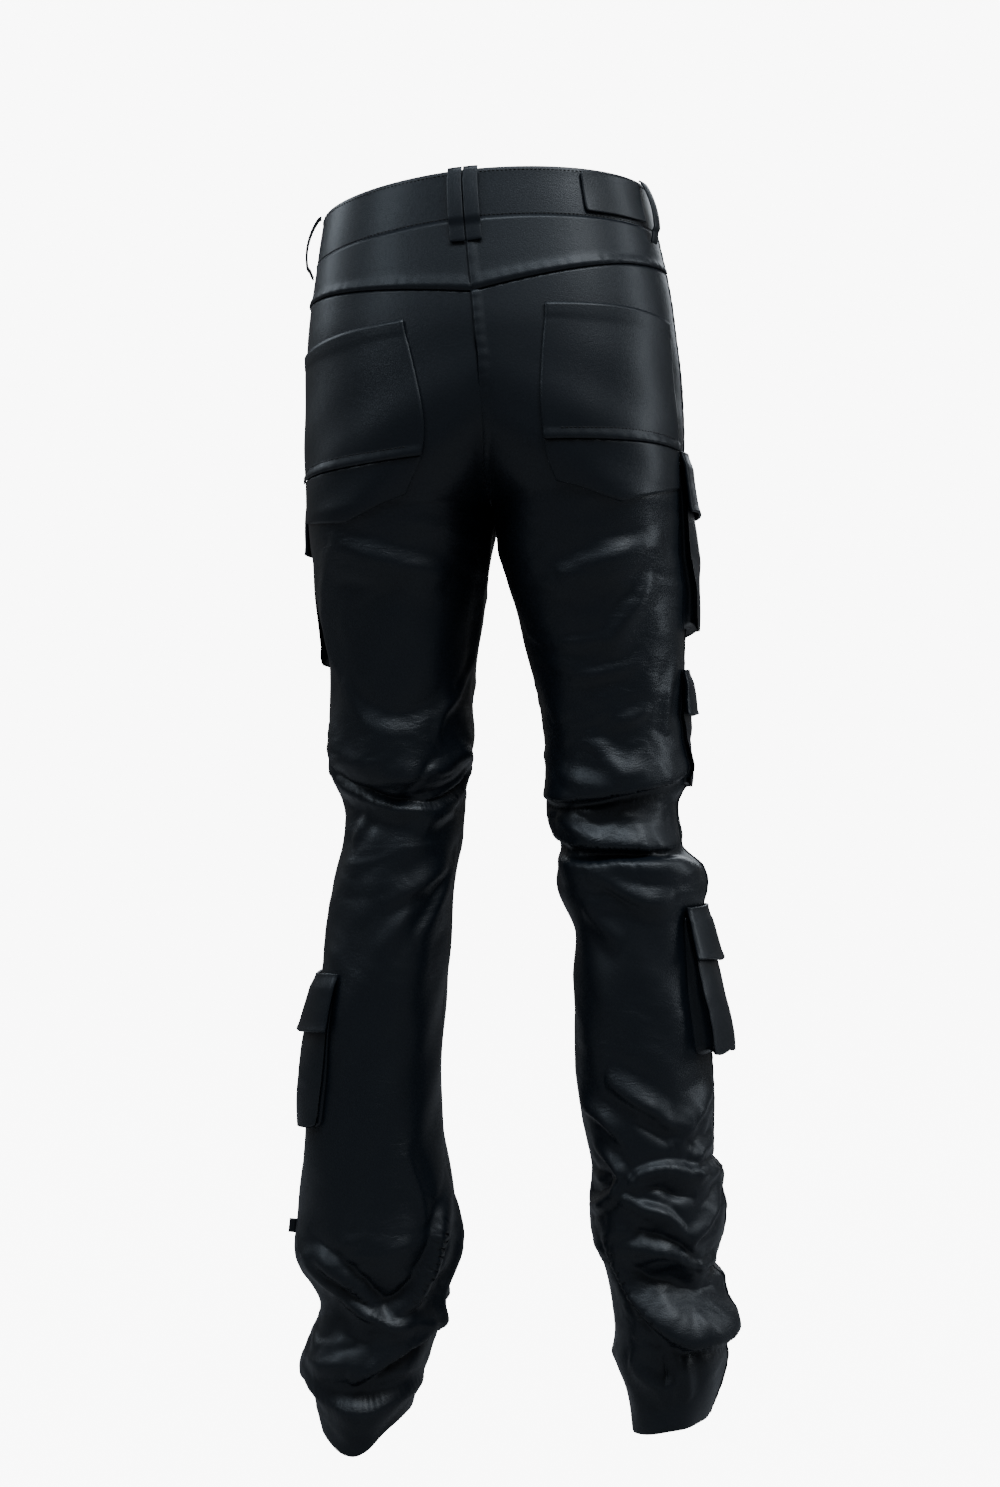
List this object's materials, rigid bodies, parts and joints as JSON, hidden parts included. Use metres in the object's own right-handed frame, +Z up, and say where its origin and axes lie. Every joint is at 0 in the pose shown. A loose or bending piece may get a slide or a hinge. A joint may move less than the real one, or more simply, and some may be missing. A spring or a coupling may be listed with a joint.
{
  "type": "leather cargo trousers",
  "caption": "Worn black leather cargo trousers with yoke, back pockets, bellows leg pockets and long legs stacked in folds at knee and ankle.",
  "frame": {"origin": "centre of the waist opening at the level of the side seams, where the garment is held", "axes": "+Z up out of the waist, -Y towards the wearer's front, +X towards the wearer's left"},
  "size_m": [0.3782, 0.2464, 1.0413],
  "materials": {
    "leather": "smooth black cowhide, semi-gloss",
    "band_leather": "smooth black cowhide, folded double",
    "pocket_leather": "smooth black cowhide, semi-gloss",
    "patch_leather": "blank black leather, topstitched",
    "button_metal": "dark nickel"
  },
  "bodies": {
    "root": {"waistband": "band_leather", "yoke_left": "leather", "yoke_right": "leather", "back_left": "leather", "back_right": "leather", "front_left": "leather", "front_right": "leather", "pocket_upper_left": "pocket_leather", "pocket_upper_right": "pocket_leather", "pocket_lower_left": "pocket_leather", "pocket_lower_right": "pocket_leather", "bag_right_thigh": "pocket_leather", "bag_right_knee": "pocket_leather", "bag_right_calf": "pocket_leather", "bag_left_thigh": "pocket_leather", "bag_left_calf": "pocket_leather", "flap_right_thigh": "pocket_leather", "flap_right_knee": "pocket_leather", "flap_right_calf": "pocket_leather", "flap_left_thigh": "pocket_leather", "flap_left_calf": "pocket_leather", "loop_back_left": "band_leather", "loop_back_right": "band_leather", "loop_side_left": "band_leather", "loop_side_right": "band_leather", "loop_front_left": "band_leather", "loop_front_right": "band_leather", "waist_patch": "patch_leather", "side_tab_left": "band_leather", "waist_button": "button_metal"}
  },
  "joints": []
}
